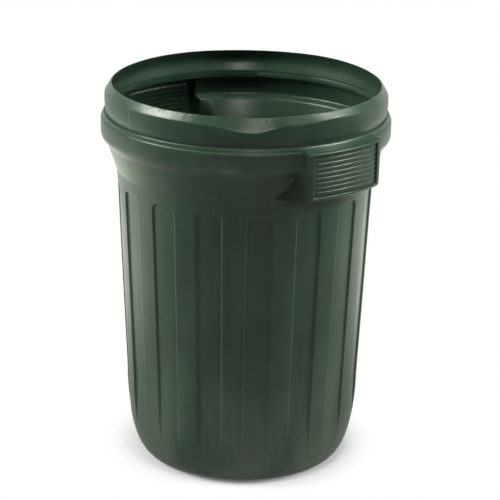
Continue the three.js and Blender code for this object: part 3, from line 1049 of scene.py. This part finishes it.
for side, centre in (("right", 0.0), ("left", math.pi)):
    grip_name = "grip_plastic_" + side
    grip_plastic = moulded_plastic(grip_name, rough=0.31, dusty=0.5, wear_and_highlight_amount=0.3, scratched=0.0)
    dress(build_grip("grip_skin_" + side, centre), grip_plastic, "grip_panel_" + side)


# ---------------------------------------------------------------- floor, light and camera

# Tuples are (low, high, at low, at high) for faded, but the foot's painted shadow line gives only the
# first three and the floor's grey completes it. They run over metres from the bin's axis, but
# MIRRORED_BESIDE over metres towards the camera and ROOM_MIRRORED over directions, by how far they point
# to the camera and up.
FLOOR_HALF_SIZE = 30.0
FLOOR_GREY = 0.86
FLOOR_BOUNCE = 0.62
# A painted shadow: a thin dark ring in the floor's grey right round the foot.
FOOT_SHADOW_LINE = (0.1745, 0.178, 0.03)
FLOOR_BURNT_OUT = (0.177, 0.258, 0.1, 1.0)
MIRRORED_BESIDE = (-0.9, 0.6, 2.15, 0.50)
MIRRORED_CLOSE_BY = (0.40, 1.25, 0.44, 1.0)
MIRRORED_FAR_OFF = (1.1, 2.2, 1.0, 0.38)
MIRRORED_TURN = math.radians(12)
ROOM_LIFT = 2.9
ROOM_MIRRORED = (-0.5, 0.5, 1.0, 0.18)
ROOM_BOUNCE = 0.07
REFLECTED_BLUE = 0.90
SEEN_BLUE = 0.99
GLINT_COLOUR = (0.97, 1.0, 0.90)
WHITE = (1, 1, 1)
LAMP_TARGET = (0, 0, 0.6)

# Each lamp's place is seen from the camera's side of the bin: right, away and up. Then its width and
# height, its watts, and its use: a glint is only ever mirrored, a fill is never mirrored.
LAMPS = {
    "glint_left": ((-1.5, 0.0, 2.1), (0.5, 0.5), 32, "glint"),
    "glint_right": ((1.5, 0.0, 2.1), (0.3, 0.5), 28, "glint"),
    "glint_front": ((0.26, -2.5, 1.85), (0.3, 0.5), 11, "glint"),
    "fill_left": ((-1.7, 0.0, 1.35), (1.0, 1.0), 46, "fill"),
    "fill_right": ((1.7, 0.05, 0.9), (1.0, 1.0), 31, "fill"),
    "fill_top": ((0.25, -0.5, 2.9), (1.0, 1.0), 58, "fill"),
}

CAMERA_DISTANCE = 14 * COLLAR_R
CAMERA_HEIGHT = 1.634
CAMERA_AIM = (0.043 * COLLAR_R, 0, 0.3799)
CAMERA_ROLL = 0.018
LENS_MM = 151.3
SENSOR_MM = 36.0


def toward_camera(tree, place, lift, turned=0.0):
    """How far a place lies towards the camera, or turned right of it, plus lift times its height."""
    dot = tree.nodes.new("ShaderNodeVectorMath")
    dot.operation = "DOT_PRODUCT"
    tree.links.new(place, dot.inputs[0])
    dot.inputs[1].default_value = (math.cos(FACING + turned), math.sin(FACING + turned), lift)
    return dot.outputs["Value"]


def picked(tree, ray, if_so, otherwise):
    """A number that is one thing to a kind of ray and another to all the rest."""
    pick = tree.nodes.new("ShaderNodeMix")
    tree.links.new(tree.nodes.new("ShaderNodeLightPath").outputs[ray], pick.inputs["Factor"])
    for socket, source in ((pick.inputs["A"], otherwise), (pick.inputs["B"], if_so)):
        if isinstance(source, float):
            socket.default_value = source
        else:
            tree.links.new(source, socket)
    return pick.outputs["Result"]


def product(tree, first, second):
    """Two numbers of a node tree multiplied."""
    node = tree.nodes.new("ShaderNodeMath")
    node.operation = "MULTIPLY"
    tree.links.new(first, node.inputs[0])
    tree.links.new(second, node.inputs[1])
    return node.outputs["Value"]


def warm_in_reflections(tree):
    """White to the camera, slightly warm where the plastic mirrors it."""
    tint = tree.nodes.new("ShaderNodeCombineColor")
    tint.inputs["Red"].default_value = 1.0
    tint.inputs["Green"].default_value = 1.0
    tree.links.new(picked(tree, "Is Glossy Ray", REFLECTED_BLUE, SEEN_BLUE), tint.inputs["Blue"])
    return tint.outputs["Color"]


def plain_floor():
    """Pale paper: burnt out to the camera but for a soft shadow and a painted shadow, a thin dark line at
    the foot; to reflections a glow, brightest away from the camera; and dim as a bounce.
    """
    size = FLOOR_HALF_SIZE
    floor = mesh_object(
        "studio_floor",
        [(-size, -size, 0), (size, -size, 0), (size, size, 0), (-size, size, 0)],
        [(0, 1, 2, 3)],
    )
    material = bpy.data.materials.new("studio_floor_paper")
    material.use_nodes = True
    tree = material.node_tree
    place = tree.nodes.new("ShaderNodeTexCoord").outputs["Object"]

    shader = tree.nodes["Principled BSDF"]
    shader.inputs["Roughness"].default_value = 0.9
    shader.inputs["Specular IOR Level"].default_value = 0.0
    length = tree.nodes.new("ShaderNodeVectorMath")
    length.operation = "LENGTH"
    tree.links.new(place, length.inputs[0])
    from_axis = length.outputs["Value"]
    shade_of_grey = tree.nodes.new("ShaderNodeCombineColor")
    # A painted shadow: the floor's grey falls to a thin dark ring right round the foot.
    seen = faded(tree, from_axis, *FOOT_SHADOW_LINE, FLOOR_GREY)
    albedo = picked(tree, "Is Diffuse Ray", FLOOR_BOUNCE, seen)
    for channel in ("Red", "Green", "Blue"):
        tree.links.new(albedo, shade_of_grey.inputs[channel])
    tree.links.new(shade_of_grey.outputs["Color"], shader.inputs["Base Color"])

    # To glossy rays the floor is a glow rather than lit paper, a painted reflection: brightest away from
    # the camera, dimmer close to the foot and far off.
    beside = faded(tree, toward_camera(tree, place, 0, MIRRORED_TURN), *MIRRORED_BESIDE)
    close_by = faded(tree, from_axis, *MIRRORED_CLOSE_BY)
    far_off = faded(tree, from_axis, *MIRRORED_FAR_OFF)
    mirrored = product(tree, beside, product(tree, close_by, far_off))
    glow = tree.nodes.new("ShaderNodeEmission")
    tree.links.new(warm_in_reflections(tree), glow.inputs["Color"])
    tree.links.new(picked(tree, "Is Glossy Ray", mirrored, 1.0), glow.inputs["Strength"])

    burnt_out = faded(tree, from_axis, *FLOOR_BURNT_OUT)
    glowing = picked(tree, "Is Glossy Ray", 1.0, 0.0)
    glowing = picked(tree, "Is Camera Ray", burnt_out, glowing)
    blend = tree.nodes.new("ShaderNodeMixShader")
    tree.links.new(glowing, blend.inputs["Fac"])
    tree.links.new(shader.outputs["BSDF"], blend.inputs[1])
    tree.links.new(glow.outputs["Emission"], blend.inputs[2])
    tree.links.new(blend.outputs["Shader"], tree.nodes["Material Output"].inputs["Surface"])
    floor.data.materials.append(material)


def pointed(location, target):
    """A rotation that points an object's -Z from location to target, with +Y as up as can be."""
    return (Vector(target) - Vector(location)).to_track_quat("-Z", "Y").to_matrix().to_4x4()


def soft_light(name, location, size, watts, use):
    """A softbox aimed at the bin, of a width and a height: either mirrored glints or diffuse fill."""
    lamp = bpy.data.lights.new(name, "AREA")
    lamp.shape = "RECTANGLE"
    lamp.size, lamp.size_y = size
    lamp.energy = watts
    lamp.color = GLINT_COLOUR if use == "glint" else WHITE
    holder = bpy.data.objects.new(name, lamp)
    holder.matrix_world = Matrix.Translation(location) @ pointed(location, LAMP_TARGET)
    holder.visible_diffuse = use == "fill"
    holder.visible_glossy = use == "glint"
    bpy.context.scene.collection.objects.link(holder)


def from_camera_frame(right, back, up):
    """A point given as seen from the camera's side of the bin: right, away and up."""
    away = FACING + math.pi
    x = right * math.cos(FACING + math.pi / 2) + back * math.cos(away)
    y = right * math.sin(FACING + math.pi / 2) + back * math.sin(away)
    return (x, y, up)


def studio():
    """Glints from a softbox high on each side and one in front, broad fills, and a pale room."""
    for name, (place, size, watts, use) in LAMPS.items():
        soft_light(name, from_camera_frame(*place), size, watts, use)
    world = bpy.data.worlds.new("studio_world")
    bpy.context.scene.world = world
    world.use_nodes = True
    tree = world.node_tree
    background = tree.nodes["Background"]
    tree.links.new(warm_in_reflections(tree), background.inputs["Color"])
    direction = tree.nodes.new("ShaderNodeTexCoord").outputs["Generated"]
    room = faded(tree, toward_camera(tree, direction, ROOM_LIFT), *ROOM_MIRRORED)
    room = picked(tree, "Is Diffuse Ray", ROOM_BOUNCE, room)
    tree.links.new(picked(tree, "Is Camera Ray", 1.0, room), background.inputs["Strength"])


def photo_camera():
    """A long lens from 14 collar radii away, a little above the mouth and rolled one degree."""
    place = Vector(from_camera_frame(0, -CAMERA_DISTANCE, CAMERA_HEIGHT))
    target = Vector(from_camera_frame(*CAMERA_AIM))
    ahead = (target - place).normalized()
    right = ahead.cross(Vector((0, 0, 1))).normalized()
    up = right.cross(ahead)
    rolled_right = right * math.cos(CAMERA_ROLL) + up * math.sin(CAMERA_ROLL)
    rolled_up = up * math.cos(CAMERA_ROLL) - right * math.sin(CAMERA_ROLL)
    lens = bpy.data.cameras.new("photo_camera")
    lens.sensor_width = SENSOR_MM
    lens.lens = LENS_MM
    lens.clip_end = 100
    holder = bpy.data.objects.new("photo_camera", lens)
    turn_matrix = Matrix((rolled_right, rolled_up, -ahead)).transposed().to_4x4()
    holder.matrix_world = Matrix.Translation(place) @ turn_matrix
    bpy.context.scene.collection.objects.link(holder)
    bpy.context.scene.camera = holder


plain_floor()
studio()
photo_camera()
bpy.context.scene.view_settings.view_transform = "Standard"
